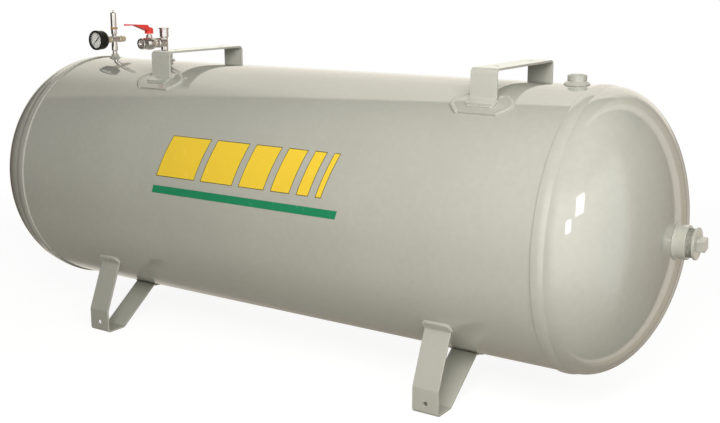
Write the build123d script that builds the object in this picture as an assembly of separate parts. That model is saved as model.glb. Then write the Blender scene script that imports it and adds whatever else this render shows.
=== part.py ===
from build123d import *
from math import asin, atan2, cos, degrees, hypot, radians, sin, tan
import os

# Horizontal compressed-air receiver. Millimetres, +X along the tank, -Y the side with the fittings,
# +Z up. The origin is on the floor under the middle of the tank.

# Tank
tank_diameter = 600.0
shell_length = 1450.0
shell_wall = 4.0
head_flange = 10.0
head_depth = 160.0
head_wall = 4.0
axis_height = 370.0
seam_weld_width = 26.0
seam_weld_height = 3.2
seam_step = 1.8
seam_crown_share = 0.3
long_weld_width = 12.0
long_weld_height = 1.5
long_weld_angle = 40.0

# Fits: a part that sits on curved plate, a thread in its hole, and the overrun of a cut
seat_gap = 0.3
thread_gap = 0.3
overrun = 5.0

# Feet of bent strap
foot_from_end = 245.0
foot_width = 62.0
foot_thickness = 5.0
foot_edge_round = 1.0
foot_span = 560.0
foot_depth = 55.0
foot_knee_height = 56.0
foot_bend = 7.0
foot_hole_diameter = 12.0
foot_hole_height = 25.0
foot_outer_angle = 40.0
foot_inner_angle = 69.0
foot_outer_tab = 20.0
foot_inner_tab = 11.0
tab_seat_share = 0.8

# Top brackets of bent strap, and the plates that they are welded to
left_bracket_from_end = 360.0
right_bracket_from_end = 200.0
bracket_width = 60.0
bracket_thickness = 5.0
bracket_edge_round = 1.0
bracket_span = 280.0
bracket_rise = 37.0
bracket_bend = 9.0
bracket_tab = 22.0
bracket_hole_diameter = 13.0
bracket_hole_spacing = 168.0
pad_length = 135.0
pad_width = 66.0
pad_thickness = 4.0
pad_corner = 26.0
pad_corner_round = 12.0

# Welded sockets on the top line, and one under the middle of the tank
gauge_from_end = 55.0
valve_from_end = 241.0
plug_from_end = 57.0
small_socket_diameter = 20.0
small_socket_bore = 13.0
small_socket_height = 10.5
small_socket_weld = 5.5
large_socket_diameter = 40.0
large_socket_bore = 30.5
large_socket_height = 20.5
large_socket_weld = 7.5
drain_socket_diameter = 30.0
drain_socket_bore = 19.0
drain_socket_height = 12.0
drain_socket_weld = 5.0
socket_chamfer = 1.5
socket_edge = 1.5

# Plugs
top_plug_depth = 14.0
top_plug_recess = 2.0
top_plug_key = 17.0
top_plug_key_depth = 8.0
drain_plug_reach = 10.0
drain_plug_head = 22.0
drain_plug_head_height = 8.0
end_socket_diameter = 70.0
end_socket_bore = 57.0
end_socket_reach = 24.0
end_socket_weld = 3.5
end_plug_thread_reach = 14.0
end_plug_thread_gap = 12.0
end_plug_flange_diameter = 66.0
end_plug_flange_thickness = 5.0
end_plug_flange_round = 1.2
end_plug_square = 25.0
end_plug_square_length = 16.0
end_plug_square_round = 3.0
end_plug_turn = 12.0

# Hexagons of nuts and nipples, with their corners turned off at the ends
hexagon_sides = 6
hexagon_face_share = 0.93
hexagon_chamfer_angle = 30.0

# Gauge cross: nipple, cross, pressure gauge, rear plug and safety valve
gauge_axis_height = 50.0
nipple_neck_reach = 7.0
nipple_neck_height = 8.0
nipple_diameter = 16.5
nipple_height = 19.5
nipple_round = 3.0
cross_diameter = 15.0
cross_neck_diameter = 12.0
cross_neck_height = 3.0
cross_arm_diameter = 17.0
cross_arm_reach = 15.0
cross_arm_round = 1.5
cross_top_reach = 12.5
connector_flats = 17.0
connector_length = 14.0
connector_neck_diameter = 13.0
connector_neck_length = 6.0
gauge_diameter = 50.0
gauge_depth = 34.0
gauge_bezel_diameter = 52.0
gauge_bezel_length = 9.0
gauge_bezel_round = 1.5
gauge_back_round = 13.0
gauge_window_diameter = 43.0
gauge_recess = 7.0
gauge_dial_thickness = 1.0
gauge_glass_thickness = 1.6
gauge_glass_set = 0.8
needle_length = 16.0
needle_tail = 11.0
needle_width = 3.0
needle_tip_width = 1.0
needle_thickness = 0.6
needle_lift = 1.2
needle_pivot_diameter = 5.0
needle_angle = 225.0
rear_plug_flats = 17.0
rear_plug_hex_length = 8.0
rear_plug_diameter = 16.0
rear_plug_length = 16.0
rear_plug_round = 5.0
safety_diameter = 15.7
safety_lower_height = 14.5
safety_upper_height = 40.0
safety_round = 3.0
safety_groove_depth = 0.6
safety_ring_diameter = 18.0
safety_ring_height = 5.0
safety_ring_round = 1.2
safety_pin_diameter = 4.6
safety_pin_height = 6.5
safety_pin_round = 1.2

# Outlet: bush, tee with its cap, hexagon nipple and ball valve
outlet_axis_height = 48.0
bush_reach = 12.0
bush_flats = 32.0
bush_height = 6.0
tee_diameter = 19.0
tee_top_reach = 12.5
tee_branch_diameter = 24.0
tee_branch_reach = 21.0
cap_diameter = 23.5
cap_height = 22.0
cap_round = 3.0
cap_rim_diameter = 27.5
cap_rim_height = 3.5
cap_rim_round = 1.0
hex_nipple_flats = 25.0
hex_nipple_length = 6.0
valve_length = 59.0
valve_stem_place = 28.0
valve_neck_diameter = 23.0
valve_body_diameter = 33.5
valve_end_sides = 8
valve_end_flats = 27.0
valve_end_length = 16.0
valve_neck_length = 9.0
outlet_bore = 18.6
outlet_bore_length = 15.0
port_diameter = 14.0
ball_diameter = 23.0
ball_gap = 0.3
gland_diameter = 17.0
gland_top_diameter = 14.0
gland_height = 5.0
stem_diameter = 9.0
stem_gap = 0.3
stem_rise = 3.0
hub_diameter = 22.0
hub_height = 16.0
hub_round = 6.0
lever_length = 83.0
lever_root_width = 18.0
lever_tip_width = 14.0
lever_rise = 27.0
lever_tip_thickness = 4.0
lever_tip_round = 5.0
lever_edge_round = 0.8
lever_crest_share = 0.85
lever_web_share = 0.65
lever_web_low_share = 0.5

tank_radius = tank_diameter / 2
tank_top = axis_height + tank_radius
tank_bottom = axis_height - tank_radius
head_start = shell_length / 2
foot_x = head_start - foot_from_end
left_bracket_x = left_bracket_from_end - head_start
right_bracket_x = head_start - right_bracket_from_end
gauge_x = gauge_from_end - head_start
valve_x = valve_from_end - head_start
plug_x = head_start - plug_from_end
seat_radius = tank_radius + seat_gap
pad_radius = seat_radius + pad_thickness


def turned(outline, rounded=(), radius=0.0):
    """A solid turned about Z from (radius, height) corners, with the numbered corners rounded."""
    profile = make_face(Polyline(*outline, close=True))
    for number in rounded:
        corner = profile.vertices().sort_by_distance(Vector(*outline[number]))[0]
        profile = fillet(corner, radius)
    return revolve(Plane.XZ * profile, Axis.Z)


def many_sided(flats, sides, height):
    """An upright bar with equal flats, standing on Z = 0."""
    return extrude(RegularPolygon(flats / 2, sides, major_radius=False), height)


def nut(flats, height, sides=hexagon_sides):
    """A many-sided bar with the corners of both ends turned off, standing on Z = 0."""
    face = flats / 2 * hexagon_face_share
    corner = flats / 2 / cos(radians(180 / sides))
    drop = (corner - face) * tan(radians(hexagon_chamfer_angle))
    blank = turned(((0, 0), (face, 0), (corner, drop), (corner, height - drop), (face, height), (0, height)))
    return many_sided(flats, sides, height) & blank


def rod(diameter, height):
    """An upright round bar, standing on Z = 0."""
    return extrude(Circle(diameter / 2), height)


def rounded_rod(diameter, height, radius, corners=(2,)):
    """An upright round bar on Z = 0, rounded at its foot (corner 1), at its top (corner 2) or at both."""
    wall = diameter / 2
    return turned(((0, 0), (wall, 0), (wall, height), (0, height)), corners, radius)


def along_tank(solid):
    """Turns a solid made along Z to lie along +X, on the tank's axis."""
    return Pos(0, 0, axis_height) * Rot(0, 90, 0) * solid


def strap(points, bend, width, thickness, edge_round, x):
    """Flat strap with rolled edges, bent along (y, z) points in the plane across the tank at x."""
    path = Plane(origin=(x, 0, 0), x_dir=(0, 1, 0), z_dir=(1, 0, 0)) * FilletPolyline(*points, radius=bend)
    section = Plane(origin=path @ 0, x_dir=(1, 0, 0), z_dir=path % 0)
    return sweep(section * RectangleRounded(width, thickness, edge_round), path)


# Tank: rolled shell, dished heads and seam welds

def shell():
    tube = Circle(tank_radius) - Circle(tank_radius - shell_wall)
    body = along_tank(extrude(tube, shell_length / 2, both=True))
    top_bores = (
        (gauge_x, small_socket_bore),
        (valve_x, large_socket_bore),
        (plug_x, large_socket_bore),
    )
    for x, bore in top_bores:
        body -= Pos(x, 0, axis_height) * rod(bore, tank_radius + overrun)
    body -= Pos(0, 0, axis_height) * Rot(180, 0, 0) * rod(drain_socket_bore, tank_radius + overrun)
    return body


def head_form(radius, depth):
    """The solid form of a dished head, from its joint with the shell outwards along Z."""
    dome = EllipticalCenterArc((0, head_flange), radius, depth, 0, arc_size=90)
    sides = Polyline((0, head_flange + depth), (0, 0), (radius, 0), (radius, head_flange))
    return revolve(Plane.XZ * make_face(dome + sides), Axis.Z)


def head(side):
    dish = head_form(tank_radius, head_depth)
    dish -= head_form(tank_radius - head_wall, head_depth - head_wall)
    dish -= rod(end_socket_bore, head_flange + head_depth + overrun)
    return Rot(0, 0, 90 - 90 * side) * along_tank(Pos(0, 0, head_start) * dish)


def seam_weld(side):
    """The ring that joins a head: a step up from the shell, then a bead that runs out on the head."""
    outer = side * seam_weld_width / 2
    step = (tank_radius + seam_step, -outer)
    crown = ThreePointArc(
        step,
        (tank_radius + seam_weld_height, -outer * seam_crown_share),
        (seat_radius, outer),
    )
    bead = make_face(crown + Polyline((seat_radius, outer), (seat_radius, -outer), step))
    return along_tank(Pos(0, 0, side * head_start) * revolve(Plane.XZ * bead, Axis.Z))


def long_weld():
    """The bead along the shell's own joint, high on the rear side."""
    half = long_weld_width / 2
    low = tank_radius - overrun
    crown = ThreePointArc(
        (-half, tank_radius),
        (0, tank_radius + long_weld_height),
        (half, tank_radius),
    )
    bead = make_face(crown + Polyline((half, tank_radius), (half, low), (-half, low), (-half, tank_radius)))
    length = shell_length - seam_weld_width - 2 * seat_gap
    bar = along_tank(extrude(Rot(0, 0, 90) * bead, length / 2, both=True))
    bar -= along_tank(extrude(Circle(seat_radius), length, both=True))
    return Pos(0, 0, axis_height) * Rot(long_weld_angle - 90, 0, 0) * Pos(0, 0, -axis_height) * bar


# Feet and brackets

def tangent_point(radius, angle, reach):
    """The (y, z) point that lies reach along the tangent, upwards, from angle above the tank's axis."""
    y = radius * cos(radians(angle)) - reach * sin(radians(angle))
    z = axis_height + radius * sin(radians(angle)) + reach * cos(radians(angle))
    return y, z


def foot(x, side):
    middle = seat_radius + foot_thickness / 2
    front = foot_span / 2 - foot_thickness / 2
    low = foot_thickness / 2
    free_share = tab_seat_share
    root_share = 1 - tab_seat_share
    route = (
        tangent_point(middle, -foot_outer_angle, foot_outer_tab * free_share),
        tangent_point(middle, -foot_outer_angle, -foot_outer_tab * root_share),
        (front, foot_knee_height),
        (front, low),
        (foot_span / 2 - foot_depth, low),
        tangent_point(middle, -foot_inner_angle, foot_inner_tab * root_share),
        tangent_point(middle, -foot_inner_angle, -foot_inner_tab * free_share),
    )
    mirrored = [(side * y, z) for y, z in route]
    bent = strap(mirrored, foot_bend, foot_width, foot_thickness, foot_edge_round, x)
    hole = Rot(-90 * side, 0, 0) * rod(foot_hole_diameter, foot_thickness + 2 * overrun)
    return bent - Pos(x, side * (front - low - overrun), foot_hole_height) * hole


def bracket_seat_angle():
    """The angle from the top at which a bracket's tab lies on its plate."""
    middle = pad_radius + seat_gap + bracket_thickness / 2
    leg = bracket_span / 2 - bracket_thickness / 2
    half = bracket_tab / 2
    return degrees(asin(leg / hypot(middle, half)) + atan2(half, middle))


def bracket(x):
    middle = pad_radius + seat_gap + bracket_thickness / 2
    level_angle = 90 - bracket_seat_angle()
    high = tank_top + bracket_rise - bracket_thickness / 2
    leg = bracket_span / 2 - bracket_thickness / 2
    outer_end = tangent_point(middle, level_angle, -bracket_tab / 2)
    inner_end = tangent_point(middle, level_angle, bracket_tab / 2)
    half = (outer_end, inner_end, (leg, high))
    route = list(half) + [(-y, z) for y, z in reversed(half)]
    bent = strap(route, bracket_bend, bracket_width, bracket_thickness, bracket_edge_round, x)
    for side in (-1, 1):
        hole = rod(bracket_hole_diameter, bracket_thickness + 2 * overrun)
        bent -= Pos(x, side * bracket_hole_spacing / 2, high - overrun - bracket_thickness / 2) * hole
    return bent


def pad(x, side):
    cut = chamfer(Rectangle(pad_length, pad_width).vertices(), pad_corner)
    outline = fillet(cut.vertices(), pad_corner_round)
    plate = extrude(outline, tank_radius + pad_radius)
    ring = Circle(pad_radius) - Circle(seat_radius)
    rolled = along_tank(extrude(ring, pad_length, both=True))
    placed = Pos(0, 0, axis_height) * Rot(-side * bracket_seat_angle(), 0, 0) * plate
    return Pos(x, 0, 0) * (rolled & placed)


# Sockets and plugs

def socket(diameter, bore, height, weld):
    """A socket with its fillet weld, standing on Z = 0 at the plate's crown and reaching below it."""
    low = -weld
    toe = diameter / 2 + weld
    wall = Polyline(
        (toe, 0),
        (toe, low),
        (bore / 2, low),
        (bore / 2, height - socket_chamfer),
        (bore / 2 + socket_chamfer, height),
        (diameter / 2 - socket_edge, height),
        (diameter / 2, height - socket_edge),
        (diameter / 2, weld),
    )
    fillet_weld = RadiusArc((diameter / 2, weld), (toe, 0), weld * 2)
    return revolve(Plane.XZ * make_face(wall + fillet_weld), Axis.Z)


def top_socket(x, diameter, bore, height, weld):
    whole = Pos(x, 0, tank_top) * socket(diameter, bore, height, weld)
    return whole - along_tank(extrude(Circle(seat_radius), shell_length / 2, both=True))


def drain_socket():
    whole = socket(drain_socket_diameter, drain_socket_bore, drain_socket_height, drain_socket_weld)
    whole = Pos(0, 0, tank_bottom) * Rot(180, 0, 0) * whole
    return whole - along_tank(extrude(Circle(seat_radius), shell_length / 2, both=True))


def top_plug():
    high = large_socket_height - top_plug_recess
    plug = rod(large_socket_bore - 2 * thread_gap, top_plug_depth)
    key = many_sided(top_plug_key, hexagon_sides, top_plug_key_depth + overrun)
    plug -= Pos(0, 0, top_plug_depth - top_plug_key_depth) * key
    return Pos(plug_x, 0, tank_top + high - top_plug_depth) * plug


def drain_plug():
    plug = Pos(0, 0, -drain_plug_reach) * rod(drain_socket_bore - 2 * thread_gap, drain_plug_reach)
    plug += nut(drain_plug_head, drain_plug_head_height)
    return Pos(0, 0, tank_bottom - drain_socket_height) * Rot(180, 0, 0) * plug


def to_end(solid, side):
    """Moves a solid made along Z from the crown of a head to that head."""
    crown = head_start + head_flange + head_depth
    return Rot(0, 0, 90 - 90 * side) * along_tank(Pos(0, 0, crown) * solid)


def end_socket(side):
    ring = socket(end_socket_diameter, end_socket_bore, end_socket_reach, end_socket_weld)
    form = head_form(seat_radius, head_depth + seat_gap)
    return to_end(ring - Pos(0, 0, -head_flange - head_depth) * form, side)


def end_plug(side):
    start = end_socket_reach - end_plug_thread_reach
    thread_length = end_plug_thread_reach + end_plug_thread_gap
    flange = end_socket_reach + end_plug_thread_gap
    plug = Pos(0, 0, start) * rod(end_socket_bore - 2 * thread_gap, thread_length)
    rim = rounded_rod(end_plug_flange_diameter, end_plug_flange_thickness, end_plug_flange_round, (1, 2))
    plug += Pos(0, 0, flange) * rim
    square = RectangleRounded(end_plug_square, end_plug_square, end_plug_square_round)
    stub = extrude(Rot(0, 0, end_plug_turn) * square, end_plug_square_length)
    plug += Pos(0, 0, flange + end_plug_flange_thickness) * stub
    return to_end(plug, side)


# Gauge cross

def on_gauge_line(solid, height=0.0):
    return Pos(gauge_x, 0, tank_top + height) * solid


def gauge_nipple():
    neck = small_socket_bore - 2 * thread_gap
    base = small_socket_height + nipple_neck_height
    neck_rod = rod(neck, nipple_neck_reach + nipple_neck_height)
    part = Pos(0, 0, small_socket_height - nipple_neck_reach) * neck_rod
    part += Pos(0, 0, base) * rounded_rod(nipple_diameter, nipple_height, nipple_round, (1,))
    return on_gauge_line(part)


def cross_low():
    return small_socket_height + nipple_neck_height + nipple_height


def cross_fitting():
    height = gauge_axis_height + cross_top_reach - cross_neck_height - cross_low()
    body = Pos(0, 0, cross_low()) * rounded_rod(cross_diameter, height, cross_arm_round)
    body += Pos(0, 0, cross_low() + height) * rod(cross_neck_diameter, cross_neck_height)
    arm = rounded_rod(cross_arm_diameter, cross_arm_reach, cross_arm_round)
    for turn in (-90, 90):
        body += Pos(0, 0, gauge_axis_height) * Rot(turn, 0, 0) * arm
    return on_gauge_line(body)


def to_gauge(solid, start):
    """Moves a solid made along Z to the gauge's axis, start away from the cross, towards the front."""
    return on_gauge_line(Pos(0, -start, gauge_axis_height) * Rot(90, 0, 0) * solid)


def gauge_start():
    return cross_arm_reach + connector_length + connector_neck_length


def gauge_connector():
    part = nut(connector_flats, connector_length)
    part += Pos(0, 0, connector_length) * rod(connector_neck_diameter, connector_neck_length)
    return to_gauge(part, cross_arm_reach)


def gauge_case():
    body = rounded_rod(gauge_diameter, gauge_depth, gauge_back_round, (1,))
    bezel = rounded_rod(gauge_bezel_diameter, gauge_bezel_length, gauge_bezel_round, (1, 2))
    body += Pos(0, 0, gauge_depth - gauge_bezel_length) * bezel
    body -= Pos(0, 0, gauge_depth - gauge_recess) * rod(gauge_window_diameter, gauge_recess + overrun)
    return to_gauge(body, gauge_start())


def gauge_dial():
    disc = rod(gauge_window_diameter - 2 * thread_gap, gauge_dial_thickness)
    return to_gauge(disc, gauge_start() + gauge_depth - gauge_recess)


def gauge_glass():
    disc = rod(gauge_window_diameter - 2 * thread_gap, gauge_glass_thickness)
    return to_gauge(disc, gauge_start() + gauge_depth - gauge_glass_set - gauge_glass_thickness)


def gauge_needle():
    half = needle_width / 2
    tip = needle_tip_width / 2
    tail_corners = ((-needle_tail, half), (-needle_tail, -half))
    blade = Polyline(*tail_corners, (needle_length, -tip), (needle_length, tip), close=True)
    part = rod(needle_pivot_diameter, needle_lift + 2 * needle_thickness)
    part += Pos(0, 0, needle_lift) * extrude(Rot(0, 0, needle_angle) * make_face(blade), needle_thickness)
    dial_face = gauge_start() + gauge_depth - gauge_recess + gauge_dial_thickness
    return to_gauge(part, dial_face)


def rear_plug():
    part = nut(rear_plug_flats, rear_plug_hex_length)
    knob = rounded_rod(rear_plug_diameter, rear_plug_length, rear_plug_round)
    part += Pos(0, 0, rear_plug_hex_length) * knob
    return on_gauge_line(Pos(0, cross_arm_reach, gauge_axis_height) * Rot(-90, 0, 0) * part)


def safety_low():
    return gauge_axis_height + cross_top_reach


def safety_valve():
    height = safety_lower_height + safety_ring_height + safety_upper_height
    body = rounded_rod(safety_diameter, height, safety_round, (1, 2))
    waist = safety_diameter - 2 * safety_groove_depth
    groove = rod(safety_ring_diameter, safety_ring_height) - rod(waist, safety_ring_height)
    return on_gauge_line(body - Pos(0, 0, safety_lower_height) * groove, safety_low())


def safety_ring():
    bore = safety_diameter - 2 * safety_groove_depth + 2 * thread_gap
    ring = rounded_rod(safety_ring_diameter, safety_ring_height, safety_ring_round, (1, 2))
    ring -= rod(bore, safety_ring_height)
    return on_gauge_line(Pos(0, 0, safety_lower_height) * ring, safety_low())


def safety_pin():
    high = safety_low() + safety_lower_height + safety_ring_height + safety_upper_height
    return on_gauge_line(rounded_rod(safety_pin_diameter, safety_pin_height, safety_pin_round), high)


# Outlet

def on_outlet_line(solid, height=0.0):
    return Pos(valve_x, 0, tank_top + height) * solid


def to_outlet(solid, start):
    """Moves a solid made along Z to the outlet's axis, start away from the tee, towards the front."""
    return on_outlet_line(Pos(0, -start, outlet_axis_height) * Rot(90, 0, 0) * solid)


def valve_bush():
    part = Pos(0, 0, -bush_reach) * rod(large_socket_bore - 2 * thread_gap, bush_reach)
    part += nut(bush_flats, bush_height)
    return on_outlet_line(part, large_socket_height)


def tee():
    low = large_socket_height + bush_height
    run = Pos(0, 0, low) * rod(tee_diameter, outlet_axis_height + tee_top_reach - low)
    run += Pos(0, 0, outlet_axis_height) * Rot(90, 0, 0) * rod(tee_branch_diameter, tee_branch_reach)
    return on_outlet_line(run)


def tee_cap():
    cap = rounded_rod(cap_diameter, cap_height, cap_round, (1,))
    cap += Pos(0, 0, cap_height) * rounded_rod(cap_rim_diameter, cap_rim_height, cap_rim_round, (1, 2))
    return on_outlet_line(cap, outlet_axis_height + tee_top_reach)


def hex_nipple():
    return to_outlet(nut(hex_nipple_flats, hex_nipple_length), tee_branch_reach)


def valve_start():
    return tee_branch_reach + hex_nipple_length


def stem_y():
    return -valve_start() - valve_stem_place


def valve_body():
    neck = valve_neck_diameter / 2
    body = valve_body_diameter / 2
    end = valve_end_flats / 2
    body_end = valve_length - valve_end_length
    sides = Polyline((end, body_end), (0, body_end), (0, 0), (neck, 0), (neck, valve_neck_length))
    belly = ThreePointArc((neck, valve_neck_length), (body, valve_stem_place), (end, body_end))
    form = revolve(Plane.XZ * make_face(sides + belly), Axis.Z)
    form += Pos(0, 0, body_end) * nut(valve_end_flats, valve_end_length, valve_end_sides)
    low = gland_diameter / 2
    gland = ((0, 0), (low, 0), (low, body), (gland_top_diameter / 2, gland_top()), (0, gland_top()))
    form += Pos(0, 0, valve_stem_place) * Rot(90, 0, 0) * turned(gland)
    form -= Pos(0, 0, valve_length - outlet_bore_length) * rod(outlet_bore, outlet_bore_length + overrun)
    form -= rod(port_diameter, valve_length)
    form -= Pos(0, 0, valve_stem_place) * Sphere(ball_diameter / 2 + ball_gap)
    stem_hole = rod(stem_diameter + 2 * stem_gap, gland_top() + overrun)
    form -= Pos(0, 0, valve_stem_place) * Rot(90, 0, 0) * stem_hole
    return to_outlet(Rot(0, 0, 180) * form, valve_start())


def gland_top():
    return valve_body_diameter / 2 + gland_height


def to_stem(solid, height=0.0):
    return on_outlet_line(Pos(0, stem_y(), outlet_axis_height + height) * solid)


def valve_ball():
    ball = Sphere(ball_diameter / 2) - Rot(90, 0, 0) * Cylinder(port_diameter / 2, ball_diameter + overrun)
    return to_stem(ball)


def stem_top():
    return gland_top() + stem_rise


def valve_stem():
    low = ball_diameter / 2 + ball_gap
    return to_stem(rod(stem_diameter, stem_top() - low), low)


def valve_lever():
    radius = hub_diameter / 2
    hub = rounded_rod(hub_diameter, hub_height, hub_round)
    side = Polyline(
        (0, hub_height - hub_round),
        (radius, lever_rise * lever_crest_share),
        (lever_length, lever_rise),
        (lever_length, lever_rise - lever_tip_thickness),
        (lever_length * lever_web_share, lever_rise - lever_tip_thickness),
        (radius, hub_height * lever_web_low_share),
        (0, hub_height * lever_web_low_share),
        close=True,
    )
    web = extrude(Plane.XZ * make_face(side), hub_diameter, both=True)
    root = lever_root_width / 2
    tip = lever_tip_width / 2
    plan = make_face(Polyline((0, -root), (lever_length, -tip), (lever_length, tip), (0, root), close=True))
    plan = fillet(plan.vertices().sort_by(Axis.X)[-2:], lever_tip_round)
    arm = web & extrude(plan, lever_rise + overrun)
    lever = hub + fillet(arm.edges(), lever_edge_round)
    return to_stem(Rot(0, 0, -90) * lever, stem_top())


def save(name, solid):
    export_step(solid, os.path.join("parts", name + ".step"))


os.makedirs("parts", exist_ok=True)
save("shell", shell())
save("shell_weld", long_weld())
for name, side in (("left", -1), ("right", 1)):
    save(name + "_head", head(side))
    save(name + "_seam_weld", seam_weld(side))
    save(name + "_end_socket", end_socket(side))
    save(name + "_end_plug", end_plug(side))
    save("front_" + name + "_foot", foot(side * foot_x, -1))
    save("rear_" + name + "_foot", foot(side * foot_x, 1))
for name, x in (("left", left_bracket_x), ("right", right_bracket_x)):
    save(name + "_bracket", bracket(x))
    save(name + "_front_pad", pad(x, -1))
    save(name + "_rear_pad", pad(x, 1))
small = (small_socket_diameter, small_socket_bore, small_socket_height, small_socket_weld)
large = (large_socket_diameter, large_socket_bore, large_socket_height, large_socket_weld)
save("gauge_socket", top_socket(gauge_x, *small))
save("outlet_socket", top_socket(valve_x, *large))
save("top_plug_socket", top_socket(plug_x, *large))
save("top_plug", top_plug())
save("drain_socket", drain_socket())
save("drain_plug", drain_plug())
save("gauge_nipple", gauge_nipple())
save("gauge_cross", cross_fitting())
save("gauge_connector", gauge_connector())
save("gauge_case", gauge_case())
save("gauge_dial", gauge_dial())
save("gauge_needle", gauge_needle())
save("gauge_glass", gauge_glass())
save("cross_rear_plug", rear_plug())
save("safety_valve", safety_valve())
save("safety_valve_ring", safety_ring())
save("safety_valve_pin", safety_pin())
save("outlet_bush", valve_bush())
save("outlet_tee", tee())
save("tee_cap", tee_cap())
save("outlet_nipple", hex_nipple())
save("ball_valve_body", valve_body())
save("ball_valve_ball", valve_ball())
save("ball_valve_stem", valve_stem())
save("ball_valve_lever", valve_lever())
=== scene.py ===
import math

import bmesh
import bpy
from mathutils import Matrix, Vector, noise


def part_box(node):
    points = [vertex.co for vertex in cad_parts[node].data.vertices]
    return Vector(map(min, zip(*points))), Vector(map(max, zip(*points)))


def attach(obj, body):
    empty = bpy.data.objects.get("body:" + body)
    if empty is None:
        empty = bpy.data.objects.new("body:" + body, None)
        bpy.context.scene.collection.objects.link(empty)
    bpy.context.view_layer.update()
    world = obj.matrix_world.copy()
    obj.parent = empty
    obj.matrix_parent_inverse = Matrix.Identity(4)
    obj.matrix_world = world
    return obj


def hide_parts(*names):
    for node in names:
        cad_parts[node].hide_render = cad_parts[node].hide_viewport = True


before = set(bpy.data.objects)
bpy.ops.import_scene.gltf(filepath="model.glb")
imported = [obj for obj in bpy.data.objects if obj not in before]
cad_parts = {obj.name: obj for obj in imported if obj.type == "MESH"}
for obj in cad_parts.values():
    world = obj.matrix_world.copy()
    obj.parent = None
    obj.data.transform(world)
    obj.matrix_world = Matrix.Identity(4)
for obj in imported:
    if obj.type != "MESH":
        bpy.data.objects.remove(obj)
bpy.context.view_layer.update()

# Shell: a steel plate rolled to a tube and sprayed with glossy light grey enamel.
# The coat is nearly even, a little cloudy, with the fine orange peel that a spray gun leaves.

shell_low, shell_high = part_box("shell")
tank_radius = (shell_high.z - shell_low.z) / 2
axis_height = (shell_high.z + shell_low.z) / 2


class Wire:
    """An output of a finish's nodes. Sums on it add Math nodes, and node() adds any other kind of node."""

    def __init__(self, tree, socket):
        self.tree = tree
        self.socket = socket

    def node(self, kind, settings=None, sockets=None, output=0):
        made = self.tree.nodes.new("ShaderNode" + kind)
        for key, value in (settings or {}).items():
            setattr(made, key, value)
        for key, value in (sockets or {}).items():
            if isinstance(value, Wire):
                self.tree.links.new(value.socket, made.inputs[key])
            else:
                made.inputs[key].default_value = value
        return Wire(self.tree, made.outputs[output]) if made.outputs else None

    def math(self, operation, first, second):
        return self.node("Math", {"operation": operation}, {0: first, 1: second})

    def __add__(self, other):
        return self.math("ADD", self, other)

    def __radd__(self, other):
        return self.math("ADD", other, self)

    def __sub__(self, other):
        return self.math("SUBTRACT", self, other)

    def __rsub__(self, other):
        return self.math("SUBTRACT", other, self)

    def __mul__(self, other):
        return self.math("MULTIPLY", self, other)

    def __rmul__(self, other):
        return self.math("MULTIPLY", other, self)

    def above(self, low, high):
        """0 below low, 1 above high, with a soft step between."""
        settings = {"interpolation_type": "SMOOTHSTEP"}
        return self.node("MapRange", settings, {"Value": self, "From Min": low, "From Max": high})


def tint(red, green, blue):
    """A colour as seen on a screen, 0 to 255, as the linear colour that a finish takes."""
    linear = []
    for level in (red, green, blue):
        share = level / 255
        linear.append(share / 12.92 if share <= 0.04045 else ((share + 0.055) / 1.055) ** 2.4)
    return (*linear, 1.0)


def new_finish(name):
    """A new finish, and the wire of its place on the object in metres."""
    finish = bpy.data.materials.new(name)
    finish.use_nodes = True
    tree = finish.node_tree
    tree.nodes.clear()
    return finish, Wire(tree, None).node("TexCoord", output="Object")


def grain(place, scale, detail=2.0):
    return place.node("TexNoise", None, {"Vector": place, "Scale": scale, "Detail": detail})


def blend(place, share, first, second):
    return place.node("Mix", {"data_type": "RGBA"}, {0: share, 6: first, 7: second}, output=2)


def relief(place, height, depth, strength=1.0):
    return place.node("Bump", None, {"Height": height, "Distance": depth, "Strength": strength})


def close_finish(place, **sockets):
    named = {key.replace("_", " "): value for key, value in sockets.items()}
    surface = place.node("BsdfPrincipled", None, named)
    place.node("OutputMaterial", None, {"Surface": surface})


def make_enamel(name, shade, shine):
    finish, place = new_finish(name)
    cloud = grain(place, 2.5, 3.0)
    mottle = grain(place, 70.0, 3.0)
    tone = cloud * 0.65 + mottle * 0.35
    peel = grain(place, 190.0)
    close_finish(
        place,
        Base_Color=blend(place, tone.above(0.35, 0.65), shade, shine),
        Roughness=0.06 + 0.06 * cloud,
        Coat_Weight=1.0,
        Coat_Roughness=0.01,
        Coat_IOR=1.6,
        Normal=relief(place, peel, 0.00001),
    )
    return finish


def dress(finish, *nodes):
    for node in nodes:
        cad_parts[node].material_slots[0].material = finish


enamel = make_enamel("tank_enamel", tint(187, 187, 177), tint(193, 193, 183))
dress(enamel, "shell")

# Heads: dished ends pressed from plate, each with a short straight flange that meets the shell.
# They carry the same enamel as the shell.

dress(enamel, "left_head", "right_head")

# Seam welds: machine-laid beads that join each head to the shell all the way round.
# A bead has a steep toe on the shell's side and runs out softly on the head's side, all under the enamel.
# The long weld closes the shell's own seam at the back.

seam_steps = 1440
seam_ripples = 420
seam_ripple_depth = 0.00011
seam_ripple_waver = 3
seam_ripple_lean = 4
seam_waver_scale = 60
seam_crest_share = 0.45
seam_crest_reach = 0.5
seam_shares = (
    (0.0, 0.0),
    (0.004, 0.78),
    (0.02, 0.86),
    (0.08, 0.92),
    (0.2, 0.98),
    (0.33, 1.0),
    (0.46, 0.97),
    (0.6, 0.83),
    (0.72, 0.63),
    (0.82, 0.41),
    (0.92, 0.18),
    (1.0, 0.0),
)


def finish_piece(name, mesh, finish, body="tank", smooth=True):
    """Closes a bmesh into a piece with its finish, slot and body."""
    bmesh.ops.recalc_face_normals(mesh, faces=mesh.faces)
    for face in mesh.faces:
        face.smooth = smooth
    data = bpy.data.meshes.new(name)
    mesh.to_mesh(data)
    mesh.free()
    data.materials.append(finish)
    piece = bpy.data.objects.new(name, data)
    bpy.context.scene.collection.objects.link(piece)
    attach(piece, body)
    return piece


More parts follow.
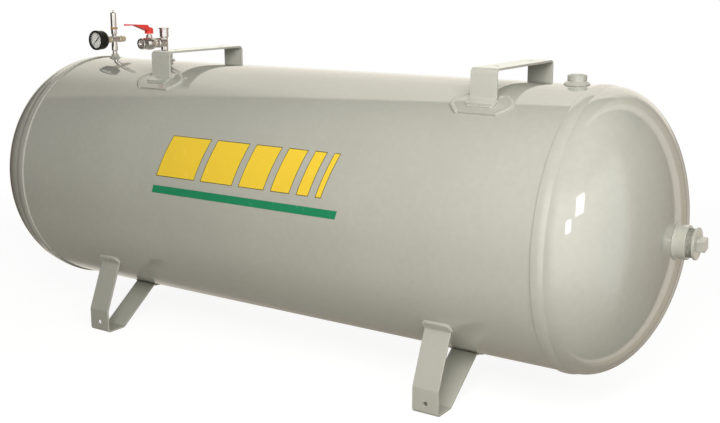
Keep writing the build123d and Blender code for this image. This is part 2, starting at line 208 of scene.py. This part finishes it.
def lay_seam(node, name, towards_head):
    """A bead round the tank in place of a seam weld's node, with its steep toe away from the head."""
    low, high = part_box(node)
    width = high.x - low.x
    height = (high.z - low.z) / 2 - tank_radius
    start = low.x if towards_head > 0 else high.x
    mesh = bmesh.new()
    profile = []
    for along, up in seam_shares:
        place = (start + towards_head * along * width, 0, axis_height + tank_radius + up * height)
        profile.append(mesh.verts.new(place))
    edges = [mesh.edges.new(pair) for pair in zip(profile, profile[1:])]
    bmesh.ops.spin(
        mesh,
        geom=profile + edges,
        cent=(0, 0, axis_height),
        axis=(1, 0, 0),
        angle=math.tau,
        steps=seam_steps,
        use_merge=True,
    )
    for vert in mesh.verts:
        along = (vert.co.x - start) * towards_head / width
        around = math.atan2(vert.co.y, vert.co.z - axis_height)
        ridge = max(0.0, 1 - abs(along - seam_crest_share) / seam_crest_reach)
        wander = noise.noise(vert.co * seam_waver_scale)
        phase = around * seam_ripples + seam_ripple_waver * wander - seam_ripple_lean * along
        ripple = 1 + math.sin(phase) + abs(wander)
        outward = Vector((0, math.sin(around), math.cos(around)))
        vert.co -= outward * ripple * ridge * seam_ripple_depth
    piece = finish_piece(name, mesh, enamel)
    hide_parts(node)


lay_seam("left_seam_weld", "left_seam_bead", -1)
lay_seam("right_seam_weld", "right_seam_bead", 1)
dress(enamel, "shell_weld")

# End sockets and plugs: a two inch steel socket welded into the middle of each head.
# A plug with a flange and a cast square closes it, sprayed over with the tank.
# A few turns of its thread stay in sight, dull with sealing paste.

end_thread_length = 0.012
end_thread_root = 0.0281
end_thread_crest = 0.0295
end_thread_pitch = 0.003
thread_steps = 48


def make_thread_paste():
    finish, place = new_finish("thread_paste")
    smear = grain(place, 220.0, 3.0)
    close_finish(
        place,
        Base_Color=blend(place, smear.above(0.35, 0.65), tint(136, 136, 130), tint(168, 167, 158)),
        Roughness=0.4 + 0.25 * smear,
        Normal=relief(place, grain(place, 900.0), 0.00008),
    )
    return finish


def wind_thread(mesh, start, axis, root, crest, pitch, turns):
    """A ridge that winds about an axis from start, with its foot at root and its top at crest."""
    profile = []
    for along, reach in ((0.05, root), (0.4, crest), (0.6, crest), (0.95, root)):
        profile.append(mesh.verts.new(start + axis * along * pitch + Vector((0, 0, reach))))
    edges = [mesh.edges.new(pair) for pair in zip(profile, profile[1:] + profile[:1])]
    bmesh.ops.spin(
        mesh,
        geom=profile + edges,
        cent=start,
        axis=axis,
        dvec=axis * pitch / thread_steps,
        angle=math.tau * turns,
        steps=thread_steps * turns,
    )
    bmesh.ops.holes_fill(mesh, edges=[edge for edge in mesh.edges if edge.is_boundary])


thread_paste = make_thread_paste()
dress(enamel, "left_end_socket", "right_end_socket", "left_end_plug", "right_end_plug")
for side, way in (("left", -1), ("right", 1)):
    low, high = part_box(side + "_end_socket")
    face = high.x if way > 0 else low.x
    thread_mesh = bmesh.new()
    turns = int(end_thread_length / end_thread_pitch) - 1
    spare = (end_thread_length - (turns + 1) * end_thread_pitch) / 2
    thread_start = Vector((face + way * spare, 0, axis_height))
    thread_axis = Vector((way, 0, 0))
    wind_thread(
        thread_mesh, thread_start, thread_axis, end_thread_root, end_thread_crest, end_thread_pitch, turns
    )
    finish_piece(side + "_end_thread", thread_mesh, thread_paste)

# Feet: four loops of bent steel strap with a bolt hole low in the upright face.
# Each is welded to the shell by hand, round the end of its upper and its lower tab.
# The beads are short, rippled and lumpy, and painted over.

bead_sides = 12
bead_step = 0.0006
bead_pitch = 0.0032
bead_valley_share = 0.9
bead_ripple_share = 0.14
bead_lump_share = 0.16
bead_lump_scale = 150
bead_end_share = 0.4
upper_bead = 0.0047
upper_bead_return = 0.02
upper_bead_lift = 0.0018
upper_bead_easing = 120
lower_bead = 0.0042
lower_bead_inset = 0.004
lower_bead_reach = 0.012
lower_bead_run_out = 22


def on_shell(x, angle, lift):
    """A place over the shell at x, angle from the top towards the front, lift above the plate."""
    reach = tank_radius + lift
    return Vector((x, -reach * math.sin(angle), axis_height + reach * math.cos(angle)))


def trace(corners, easing=0):
    """Even steps along the straight runs between corners, with the corners eased off by so many rounds."""
    places = []
    for start, stop in zip(corners, corners[1:]):
        count = max(1, round((stop - start).length / bead_step))
        places += [start.lerp(stop, step / count) for step in range(count)]
    places.append(corners[-1])
    for _ in range(easing):
        places[1:-1] = [(before + after) / 2 for before, after in zip(places, places[2:])]
    return places


def lay_bead(mesh, places, radius, run_out=6):
    """A bead of weld: a ring drawn along places, that swells at each ripple and thins over run_out steps."""
    ring = bmesh.ops.create_circle(mesh, cap_ends=True, segments=bead_sides, radius=1.0)["verts"]
    edges = list({edge for vert in ring for edge in vert.link_edges})
    before = Matrix.Identity(4)
    last = len(places) - 1
    for step, place in enumerate(places):
        if step:
            grown = bmesh.ops.extrude_edge_only(mesh, edges=edges)["geom"]
            ring = [item for item in grown if isinstance(item, bmesh.types.BMVert)]
            edges = [item for item in grown if isinstance(item, bmesh.types.BMEdge) and item.is_boundary]
        along = (places[min(step + 1, last)] - places[max(step - 1, 0)]).normalized()
        outward = Vector((0, place.y, place.z - axis_height)).normalized()
        across = outward.cross(along).normalized()
        turn = Matrix((across, along.cross(across), along)).transposed()
        swell = abs(math.sin(math.pi * step * bead_step / bead_pitch))
        ripple = bead_valley_share + bead_ripple_share * swell
        lump = 1 + bead_lump_share * noise.noise(place * bead_lump_scale)
        taper = min(1.0, bead_end_share + (1 - bead_end_share) * min(step, last - step) / run_out)
        size = radius * ripple * lump * taper
        after = Matrix.LocRotScale(place, turn, Vector((size, size, 1)))
        bmesh.ops.transform(mesh, matrix=after @ before.inverted(), verts=ring)
        before = after
    bmesh.ops.holes_fill(mesh, edges=edges)


for end in ("left", "right"):
    for side, way in (("front", 1), ("rear", -1)):
        foot = side + "_" + end + "_foot"
        dress(enamel, foot)
        low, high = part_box(foot)
        upper = math.pi / 2 + math.asin((axis_height - high.z) / tank_radius)
        lower = math.pi / 2 + math.acos(min(abs(low.y), abs(high.y)) / tank_radius)
        bead_mesh = bmesh.new()
        turned_in = upper + upper_bead_return / tank_radius
        corners = [
            on_shell(low.x, way * turned_in, upper_bead_lift),
            on_shell(low.x, way * upper, upper_bead_lift),
            on_shell(high.x, way * upper, upper_bead_lift),
            on_shell(high.x, way * turned_in, upper_bead_lift),
        ]
        lay_bead(bead_mesh, trace(corners, upper_bead_easing), upper_bead)
        seat = lower - lower_bead_inset / tank_radius
        ends = [
            on_shell(low.x - lower_bead_reach, way * seat, 0),
            on_shell(high.x + lower_bead_reach, way * seat, 0),
        ]
        lay_bead(bead_mesh, trace(ends), lower_bead, run_out=lower_bead_run_out)
        finish_piece(foot + "_welds", bead_mesh, enamel)

# Top brackets: bent steel strap on rolled plates, for a machine that stands on the tank.
# Each plate is welded to the shell along its two narrow ends, and its long sides are left open.
# The strap's enamel is a lighter copy of the tank's, painted light for the light its top catches; the strap
# is welded to the plate along its tab's end and down both sides.

pad_lift = 0.0043
pad_corner = 0.026
pad_bead = 0.0055
pad_bead_lift = 0.0012
pad_bead_easing = 160
tab_bead = 0.0038
tab_bead_lift = 0.0015
tab_reach = 0.0105
tab_end_bead = 0.0034
tab_end_lift = 0.0006
tab_toe = 0.0122

# Painted light: the bracket enamel is the tank's enamel made lighter, standing in for the stronger light on
# the strap.
lit_strap_enamel = make_enamel("bracket_painted_light_enamel", tint(196, 196, 186), tint(202, 202, 192))
dress(lit_strap_enamel, "left_bracket", "right_bracket")
for end in ("left", "right"):
    bracket_low, bracket_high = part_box(end + "_bracket")
    for side, way in (("front", 1), ("rear", -1)):
        plate = end + "_" + side + "_pad"
        dress(enamel, plate)
        low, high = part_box(plate)
        top_edge = math.acos((high.z - axis_height) / (tank_radius + pad_lift))
        bottom_edge = math.asin(max(abs(low.y), abs(high.y)) / (tank_radius + pad_lift))
        middle = (top_edge + bottom_edge) / 2
        cut = pad_corner / tank_radius
        bead_mesh = bmesh.new()
        for tip, inward in ((high.x, -1), (low.x, 1)):
            shoulder = tip + inward * pad_corner
            corners = [
                on_shell(shoulder, way * top_edge, pad_bead_lift),
                on_shell(tip, way * (top_edge + cut), pad_bead_lift),
                on_shell(tip, way * (bottom_edge - cut), pad_bead_lift),
                on_shell(shoulder, way * bottom_edge, pad_bead_lift),
            ]
            lay_bead(bead_mesh, trace(corners, pad_bead_easing), pad_bead)
        for x in (bracket_low.x, bracket_high.x):
            reach = tab_reach / tank_radius
            corners = [
                on_shell(x, way * (middle - reach), pad_lift + tab_bead_lift),
                on_shell(x, way * (middle + reach), pad_lift + tab_bead_lift),
            ]
            lay_bead(bead_mesh, trace(corners), tab_bead)
        toe = middle + tab_toe / tank_radius
        corners = [
            on_shell(bracket_low.x, way * toe, pad_lift + tab_end_lift),
            on_shell(bracket_high.x, way * toe, pad_lift + tab_end_lift),
        ]
        lay_bead(bead_mesh, trace(corners), tab_end_bead)
        finish_piece(plate + "_welds", bead_mesh, enamel)

# Small sockets: short steel sockets welded to the top and the bottom line of the shell.
# The one at the right end is closed by a plug with a hexagon key hole, the lowest by a drain plug.
# Sockets and plugs are under the enamel.

dress(enamel, "gauge_socket", "outlet_socket", "top_plug_socket", "top_plug", "drain_socket", "drain_plug")

# Pipe fittings: nickel-plated brass, turned and polished.
# The plate is bright, with faint turning marks and small changes of gloss.


def make_nickel():
    finish, place = new_finish("nickel_plate")
    haze = grain(place, 240.0, 3.0)
    close_finish(
        place,
        Base_Color=blend(place, haze, tint(240, 235, 229), tint(250, 247, 243)),
        Metallic=0.9,
        Roughness=0.03 + 0.06 * haze,
        Normal=relief(place, grain(place, 1400.0), 0.00002),
    )
    return finish


nickel = make_nickel()
dress(nickel, "gauge_nipple", "gauge_cross", "safety_valve", "safety_valve_pin")
dress(nickel, "outlet_bush", "outlet_tee", "tee_cap", "outlet_nipple")


def make_brass(name, shade, shine):
    finish, place = new_finish(name)
    haze = grain(place, 260.0, 3.0)
    close_finish(
        place,
        Base_Color=blend(place, haze, shade, shine),
        Metallic=0.5,
        Roughness=0.08 + 0.12 * haze,
        Normal=relief(place, grain(place, 1300.0), 0.00002),
    )
    return finish


pale_brass = make_brass("pale_brass", tint(240, 222, 184), tint(252, 242, 216))
dress(pale_brass, "gauge_connector", "cross_rear_plug")

# Safety valve ring: a knurled brass ring in the groove of the valve's body, with a small locking screw.
# The knurl is rolled straight, and the screw's head looks out to the right.

knurl_steps = 72
knurl_depth = 0.0004
ring_bore = 0.00755
ring_chamfer = 0.0006
screw_turn = math.radians(33)
screw_head = 0.0026
screw_rise = 0.0016
screw_bevel = 0.0003

yellow_brass = make_brass("yellow_brass", tint(196, 142, 82), tint(214, 168, 106))
dress(yellow_brass, "safety_valve_ring")
ring_low, ring_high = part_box("safety_valve_ring")
ring_middle = (ring_low + ring_high) / 2
ring_radius = (ring_high.x - ring_low.x) / 2
ring_mesh = bmesh.new()
ring_corners = (
    (ring_bore, ring_low.z),
    (ring_radius - ring_chamfer, ring_low.z),
    (ring_radius, ring_low.z + ring_chamfer),
    (ring_radius, ring_high.z - ring_chamfer),
    (ring_radius - ring_chamfer, ring_high.z),
    (ring_bore, ring_high.z),
)
profile = [ring_mesh.verts.new((ring_middle.x + reach, ring_middle.y, z)) for reach, z in ring_corners]
edges = [ring_mesh.edges.new(pair) for pair in zip(profile, profile[1:] + profile[:1])]
bmesh.ops.spin(
    ring_mesh,
    geom=profile + edges,
    cent=ring_middle,
    axis=(0, 0, 1),
    angle=math.tau,
    steps=knurl_steps,
    use_merge=True,
)
for vert in ring_mesh.verts:
    outward = Vector((vert.co.x - ring_middle.x, vert.co.y - ring_middle.y, 0))
    tooth = round(math.atan2(outward.y, outward.x) / math.tau * knurl_steps)
    if outward.length > ring_radius - ring_chamfer / 2 and tooth % 2:
        vert.co -= outward.normalized() * knurl_depth
screw_way = Vector((math.cos(screw_turn), math.sin(screw_turn), 0))
screw_place = ring_middle + screw_way * (ring_radius + screw_rise / 2 - knurl_depth)
screw = bmesh.ops.create_cone(
    ring_mesh,
    cap_ends=True,
    segments=6,
    radius1=screw_head,
    radius2=screw_head,
    depth=screw_rise,
    matrix=Matrix.Translation(screw_place) @ screw_way.to_track_quat("Z", "Y").to_matrix().to_4x4(),
)["verts"]
screw_edges = list({edge for vert in screw for edge in vert.link_edges})
bmesh.ops.bevel(
    ring_mesh, geom=screw_edges, affect="EDGES", offset=screw_bevel, segments=2, profile=0.5, material=-1
)
knurled_ring = finish_piece("knurled_ring", ring_mesh, yellow_brass, smooth=False)
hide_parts("safety_valve_ring")

# Pressure gauge: a black moulded case with a rolled bezel, a white tin dial and a clear window.
# The scale is printed: fine strokes over three quarters of the dial, a longer one at each number.
# The black needle rests at zero, low on the left.

scale_strokes = 32
strokes_per_number = 4
scale_start = math.radians(225)
scale_sweep = math.radians(270)
stroke_outer = 0.0196
stroke_length = 0.0016
long_stroke_length = 0.003
stroke_width = 0.00016
long_stroke_width = 0.00026
print_lift = 0.00012
number_reach = 0.0136
number_size = 0.0025
needle_reach = 0.0188
needle_tail = 0.014
needle_width = 0.0017
needle_tail_width = 0.0021
needle_tip_share = 0.5
needle_thickness = 0.0005
needle_hub = 0.0021
needle_hub_top = 0.0017
needle_hub_height = 0.0014


def make_gauge_black():
    finish, place = new_finish("gauge_black")
    close_finish(
        place,
        Base_Color=blend(place, grain(place, 300.0), tint(13, 17, 14), tint(22, 26, 22)),
        Roughness=0.32 + 0.15 * grain(place, 180.0),
        Normal=relief(place, grain(place, 1200.0), 0.00004),
    )
    return finish


def make_dial_white():
    finish, place = new_finish("dial_white")
    close_finish(
        place,
        Base_Color=blend(place, grain(place, 150.0), tint(247, 247, 243), tint(254, 254, 250)),
        Roughness=0.45 + 0.1 * grain(place, 500.0),
    )
    return finish


def make_ink(name, shade, shine):
    finish, place = new_finish(name)
    close_finish(
        place,
        Base_Color=blend(place, grain(place, 400.0), shade, shine),
        Roughness=0.4 + 0.1 * grain(place, 500.0),
    )
    return finish


def make_window():
    finish, place = new_finish("gauge_window")
    close_finish(
        place,
        Base_Color=blend(place, grain(place, 90.0), tint(244, 248, 246), tint(252, 253, 252)),
        Roughness=0.03 + 0.02 * grain(place, 200.0),
        Alpha=0.03,
    )
    return finish


def number_data(number):
    """The mesh of a printed number that stands upright and faces the front."""
    curve = bpy.data.curves.new("dial_number", "FONT")
    curve.body = str(number)
    curve.size = number_size
    curve.align_x = "CENTER"
    curve.align_y = "CENTER"
    curve.extrude = print_lift / 4
    text = bpy.data.objects.new("dial_number", curve)
    bpy.context.scene.collection.objects.link(text)
    data = bpy.data.meshes.new_from_object(text.evaluated_get(bpy.context.evaluated_depsgraph_get()))
    bpy.data.objects.remove(text)
    bpy.data.curves.remove(curve)
    data.transform(Matrix.Rotation(math.pi / 2, 4, "X"))
    return data


needle_black = make_ink("needle_black", tint(18, 18, 18), tint(30, 30, 30))
dial_ink = make_ink("dial_ink", tint(112, 114, 112), tint(128, 130, 128))
dress(make_gauge_black(), "gauge_case")
dress(make_dial_white(), "gauge_dial")
dress(needle_black, "gauge_needle")
dress(make_window(), "gauge_glass")

dial_low, dial_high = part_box("gauge_dial")
dial_middle = (dial_low + dial_high) / 2
dial_middle.y = dial_low.y - print_lift / 2
print_mesh = bmesh.new()
for stroke in range(scale_strokes + 1):
    angle = scale_start - scale_sweep * stroke / scale_strokes
    outward = Vector((math.cos(angle), 0, math.sin(angle)))
    is_long = stroke % strokes_per_number == 0
    length = long_stroke_length if is_long else stroke_length
    width = long_stroke_width if is_long else stroke_width
    place = Matrix.Translation(dial_middle + outward * (stroke_outer - length / 2))
    turn = Matrix.Rotation(math.pi / 2 - angle, 4, "Y")
    bmesh.ops.create_cube(
        print_mesh, size=1.0, matrix=place @ turn @ Matrix.Diagonal((width, print_lift, length, 1))
    )
    if is_long:
        data = number_data(stroke // 2)
        data.transform(Matrix.Translation(dial_middle + outward * number_reach))
        print_mesh.from_mesh(data)
        bpy.data.meshes.remove(data)
finish_piece("dial_print", print_mesh, dial_ink, smooth=False)

needle_low, needle_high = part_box("gauge_needle")
needle_middle = Vector((dial_middle.x, (needle_low.y + needle_high.y) / 2, dial_middle.z))
needle_place = Matrix.Translation(needle_middle)
needle_turn = needle_place @ Matrix.Rotation(math.pi / 2 - scale_start, 4, "Y")
needle_mesh = bmesh.new()
needle_arms = (
    (needle_reach, needle_width, needle_tip_share),
    (-needle_tail, needle_tail_width, 1),
)
for reach, width, share in needle_arms:
    arm_size = Matrix.Diagonal((width, needle_thickness, abs(reach), 1))
    arm_place = needle_turn @ Matrix.Translation((0, 0, reach / 2)) @ arm_size
    arm = bmesh.ops.create_cube(needle_mesh, size=1.0, matrix=arm_place)["verts"]
    far = sorted(arm, key=lambda vert: (vert.co - needle_middle).length)[4:]
    bmesh.ops.scale(needle_mesh, vec=(share, 1, 1), space=needle_turn.inverted(), verts=far)
bmesh.ops.create_cone(
    needle_mesh,
    cap_ends=True,
    segments=24,
    radius1=needle_hub,
    radius2=needle_hub_top,
    depth=needle_hub_height,
    matrix=needle_place @ Matrix.Rotation(math.pi / 2, 4, "X"),
)
dial_needle = finish_piece("dial_needle", needle_mesh, needle_black, smooth=False)
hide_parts("gauge_needle")

# Ball valve: a forged nickel-plated body with a thread cut inside its open end.
# The lever is steel dipped in red plastic, which runs soft over its edges.

outlet_crest = 0.0084
outlet_root = 0.0094
outlet_pitch = 0.0018
outlet_turns = 7


def make_lever_red():
    finish, place = new_finish("lever_red")
    close_finish(
        place,
        Base_Color=blend(place, grain(place, 120.0, 3.0), tint(242, 62, 52), tint(252, 76, 66)),
        Roughness=0.28 + 0.14 * grain(place, 300.0),
        Normal=relief(place, grain(place, 700.0), 0.00006),
    )
    return finish


dress(nickel, "ball_valve_body", "ball_valve_ball", "ball_valve_stem")
dress(make_lever_red(), "ball_valve_lever")
valve_low, valve_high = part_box("ball_valve_body")
outlet_start = Vector((
    (valve_low.x + valve_high.x) / 2,
    valve_low.y + outlet_pitch / 2,
    valve_low.z + (valve_high.x - valve_low.x) / 2,
))
outlet_mesh = bmesh.new()
outlet_axis = Vector((0, 1, 0))
wind_thread(outlet_mesh, outlet_start, outlet_axis, outlet_root, outlet_crest, outlet_pitch, outlet_turns)
finish_piece("valve_outlet_thread", outlet_mesh, nickel)

# Front label: a clear film stuck to the shell, printed with slanted yellow bars over a green line.
# The bars have a thin olive edge, and the bare film is just a little duller than the enamel.

label_half_length = 0.3
label_bottom = math.radians(0)
label_top = math.radians(36)
label_lift = 0.00006
label_thickness = 0.00012
label_steps = 36
bar_slant = 0.28
bar_bottom = 0.062
bar_top = 0.162
bar_starts = (-0.262, -0.126, -0.014, 0.076, 0.146, 0.196)
bar_widths = (0.118, 0.094, 0.072, 0.052, 0.032, 0.016)
bar_edge = 0.0016
line_bottom = 0.022
line_top = 0.04
line_half_length = 0.262
print_edge = 0.0002
bare_film_share = 0.005


def make_label():
    finish, place = new_finish("label_film")
    x, y, z = (place.node("SeparateXYZ", None, {0: place}, output=axis) for axis in range(3))
    height = place.math("ARCTAN2", z - axis_height, 0.0 - y) * tank_radius

    def beyond(value, low, high):
        """How far value lies outside the run from low to high: negative inside it."""
        middle = (low + high) / 2
        return place.math("ABSOLUTE", value - middle, 0.0) - (high - low) / 2

    slanted = x - bar_slant * height
    nearest = beyond(slanted, bar_starts[0], bar_starts[0] + bar_widths[0])
    for start, width in zip(bar_starts[1:], bar_widths[1:]):
        nearest = place.math("MINIMUM", nearest, beyond(slanted, start, start + width))
    bars = place.math("MAXIMUM", nearest, beyond(height, bar_bottom, bar_top))
    run = beyond(slanted, -line_half_length, line_half_length)
    line = place.math("MAXIMUM", run, beyond(height, line_bottom, line_top))
    on_bar = 1.0 - bars.above(-print_edge, print_edge)
    in_bar = 1.0 - bars.above(-bar_edge - print_edge, print_edge - bar_edge)
    on_line = 1.0 - line.above(-print_edge, print_edge)
    inked = place.math("MAXIMUM", on_bar, on_line)
    ink = grain(place, 60.0, 3.0)
    yellow = blend(place, ink, tint(248, 209, 62), tint(250, 213, 70))
    green = blend(place, ink, tint(34, 134, 92), tint(42, 146, 102))
    printed = blend(place, in_bar, tint(96, 92, 40), yellow)
    colour = blend(place, on_line, printed, green)
    close_finish(
        place,
        Base_Color=blend(place, inked, tint(176, 175, 166), colour),
        Roughness=0.22 + 0.08 * ink,
        Alpha=bare_film_share + (1 - bare_film_share) * inked,
    )
    return finish


label_mesh = bmesh.new()
label_corners = (
    (-label_half_length, label_lift),
    (label_half_length, label_lift),
    (label_half_length, label_lift + label_thickness),
    (-label_half_length, label_lift + label_thickness),
)
profile = [label_mesh.verts.new(on_shell(x, math.pi / 2 - label_top, lift)) for x, lift in label_corners]
edges = [label_mesh.edges.new(pair) for pair in zip(profile, profile[1:] + profile[:1])]
bmesh.ops.spin(
    label_mesh,
    geom=profile + edges,
    cent=(0, 0, axis_height),
    axis=(1, 0, 0),
    angle=label_top - label_bottom,
    steps=label_steps,
)
bmesh.ops.holes_fill(label_mesh, edges=[edge for edge in label_mesh.edges if edge.is_boundary])
finish_piece("front_label", label_mesh, make_label(), smooth=False)

# Studio: a pale paper floor that fades to white, two broad lamps high in front and two soft boxes.
# The gloss mirrors a white wall and a card behind the tank, paper strips to its right and a dim room.
# The camera stands in front of the right end, where the photograph was taken from.

floor_size = 16.0
floor_fade_start = 1.6
floor_fade_end = 2.6
floor_shade = tint(118, 118, 117)
floor_glow = 0.9
floor_bounce = tint(204, 202, 195)
scene = bpy.context.scene
scene.view_settings.view_transform = "Standard"


def ray_kinds(wire, *kinds):
    """1 on the named kinds of ray, and 0 on the rest."""
    share = wire.node("LightPath", output=kinds[0])
    for kind in kinds[1:]:
        share = wire.math("MAXIMUM", share, wire.node("LightPath", output=kind))
    return share


def make_paper():
    finish, place = new_finish("paper_floor")
    distance = place.node("VectorMath", {"operation": "LENGTH"}, {0: place}, output=1)
    far = distance.above(floor_fade_start, floor_fade_end)
    near = place.node("BsdfDiffuse", None, {"Color": floor_shade})
    glow = place.node("Emission", None, {"Color": (1, 1, 1, 1), "Strength": floor_glow})
    lit = place.node("AddShader", None, {0: near, 1: glow})
    white = place.node("Emission", None, {"Color": (1, 1, 1, 1), "Strength": 1.0})
    shown = place.node("MixShader", None, {0: far, 1: lit, 2: white})
    bounce = place.node("BsdfDiffuse", None, {"Color": floor_bounce})
    clear = place.node("BsdfTransparent", None, {"Color": (1, 1, 1, 1)})
    seen = ray_kinds(place, "Is Camera Ray", "Is Transmission Ray")
    surface = place.node("MixShader", None, {0: seen, 1: bounce, 2: shown})
    surface = place.node("MixShader", None, {0: ray_kinds(place, "Is Glossy Ray"), 1: surface, 2: clear})
    place.node("OutputMaterial", None, {"Surface": surface})
    return finish


floor_mesh = bmesh.new()
bmesh.ops.create_grid(floor_mesh, x_segments=1, y_segments=1, size=floor_size / 2)
floor_data = bpy.data.meshes.new("paper_floor")
floor_mesh.to_mesh(floor_data)
floor_mesh.free()
floor_data.materials.append(make_paper())
floor = bpy.data.objects.new("paper_floor", floor_data)
scene.collection.objects.link(floor)

wall_facing = (-0.595, 0.523, -0.610)
room_dim = tint(56, 45, 43)
room_brown = tint(148, 130, 118)
floor_grey = tint(152, 146, 137)
paper_white = tint(255, 248, 234)
wall_shade = tint(176, 168, 156)
paper_pale = tint(150, 142, 130)
card_white = (1.0, 1.0, 0.87, 1)
strip_pale = tint(228, 218, 204)
strip_dark = tint(186, 176, 158)
room_glow = 0.19
left_loss = 0.1
back_gain = 0.6


def towards(direction, facing):
    """How nearly a direction points the way of facing: 1 along it, 0 across it."""
    return direction.node("VectorMath", {"operation": "DOT_PRODUCT"}, {0: direction, 1: facing}, output=1)


def heading(degrees):
    """The level direction that is turned by degrees from the front to the right."""
    return (math.sin(math.radians(degrees)), -math.cos(math.radians(degrees)), 0)


world = bpy.data.worlds.new("studio")
scene.world = world
world.use_nodes = True
world.node_tree.nodes.clear()
direction = Wire(world.node_tree, None).node("TexCoord", output="Generated")
height = towards(direction, (0, 0, 1))
level = direction.node("VectorMath", {"operation": "MULTIPLY"}, {0: direction, 1: (1, 1, 0)})
level = direction.node("VectorMath", {"operation": "NORMALIZE"}, {0: level})
to_right = towards(level, heading(130)).above(0.55, 0.8)
behind = towards(direction, wall_facing).above(-0.015, 0.015) * (1.0 - to_right)
at_back = towards(level, heading(205)).above(0.85, 0.985) * (1.0 - height.above(-0.08, 0.02))
on_card = towards(level, heading(212)).above(0.93, 0.97)
on_card = on_card * height.above(0.0, 0.04) * (1.0 - height.above(0.12, 0.2))
low_down = 1.0 - height.above(-0.65, -0.3)
to_left = towards(level, heading(-57)).above(0.45, 0.65) * (1.0 - height.above(0.35, 0.6))
in_front = towards(level, heading(55)).above(0.42, 0.66)
in_front = in_front * height.above(-0.75, -0.3) * (1.0 - height.above(0.4, 0.75))
from_left = 1.0 - towards(direction, heading(123.5)).above(-0.9, 0.2)
from_back = towards(direction, heading(190)).above(0.0, 0.9)
wall = blend(direction, towards(level, heading(-75)).above(0.7, 0.97), paper_white, wall_shade)
mirrored = blend(direction, behind, room_dim, wall)
mirrored = blend(direction, to_right * (1.0 - height.above(0.3, 0.5)), mirrored, room_brown)
mirrored = blend(direction, to_left, mirrored, room_dim)
mirrored = blend(direction, low_down, mirrored, floor_grey)
mirrored = blend(direction, at_back, mirrored, paper_pale)
mirrored = blend(direction, on_card, mirrored, card_white)
for turn, shade in ((162, strip_pale), (171, strip_dark)):
    strip = towards(level, heading(turn)).above(0.9954, 0.9981)
    mirrored = blend(direction, strip, mirrored, shade)
mirrored = blend(direction, in_front, mirrored, (1, 1, 1, 1))
mirrored = blend(direction, ray_kinds(direction, "Is Camera Ray"), mirrored, (1, 1, 1, 1))
shown = direction.node("Background", None, {"Color": mirrored, "Strength": 1.0})
strength = room_glow - left_loss * from_left + back_gain * from_back
ambient = direction.node("Background", None, {"Color": (1, 1, 1, 1), "Strength": strength})
seen = ray_kinds(direction, "Is Camera Ray", "Is Glossy Ray", "Is Transmission Ray")
surface = direction.node("MixShader", None, {0: seen, 1: ambient, 2: shown})
direction.node("OutputWorld", None, {"Surface": surface})


def soft_box(name, place, aim, size, power, colour, mirrored=True):
    lamp = bpy.data.lights.new(name, "AREA")
    lamp.shape = "SQUARE"
    lamp.size = size
    lamp.energy = power
    lamp.color = colour
    box = bpy.data.objects.new(name, lamp)
    box.location = place
    box.rotation_euler = (Vector(aim) - Vector(place)).to_track_quat("-Z", "Y").to_euler()
    box.visible_camera = False
    box.visible_glossy = mirrored
    scene.collection.objects.link(box)


lamp_aim = (0.1, 0, 0.4)
lamp_white = (1, 1, 1)
lamp_warm = (1, 0.99, 0.95)
soft_box("high_soft_box", (2.58, -1.67, 1.5), (0.4, 0, 0.4), size=0.62, power=6, colour=lamp_white)
soft_box("low_soft_box", (2.1, -2.35, 0.95), (0.3, 0, 0.4), size=0.43, power=5, colour=lamp_white)
soft_box("right_light", (1.61, -1.18, 1.82), lamp_aim, size=1, power=15.5, colour=lamp_warm, mirrored=False)
soft_box("left_light", (0.97, -1.87, 1.64), lamp_aim, size=1, power=27.5, colour=lamp_warm, mirrored=False)

camera_turn = math.radians(33.540)
camera_tilt = math.radians(12.536)
camera_data = bpy.data.cameras.new("photo_camera")
camera_data.lens = 52.69
camera_data.sensor_width = 36.0
camera = bpy.data.objects.new("photo_camera", camera_data)
camera.location = (1.49455, -2.05302, 0.88504)
camera.rotation_euler = (math.pi / 2 - camera_tilt, 0, camera_turn)
scene.collection.objects.link(camera)
scene.camera = camera
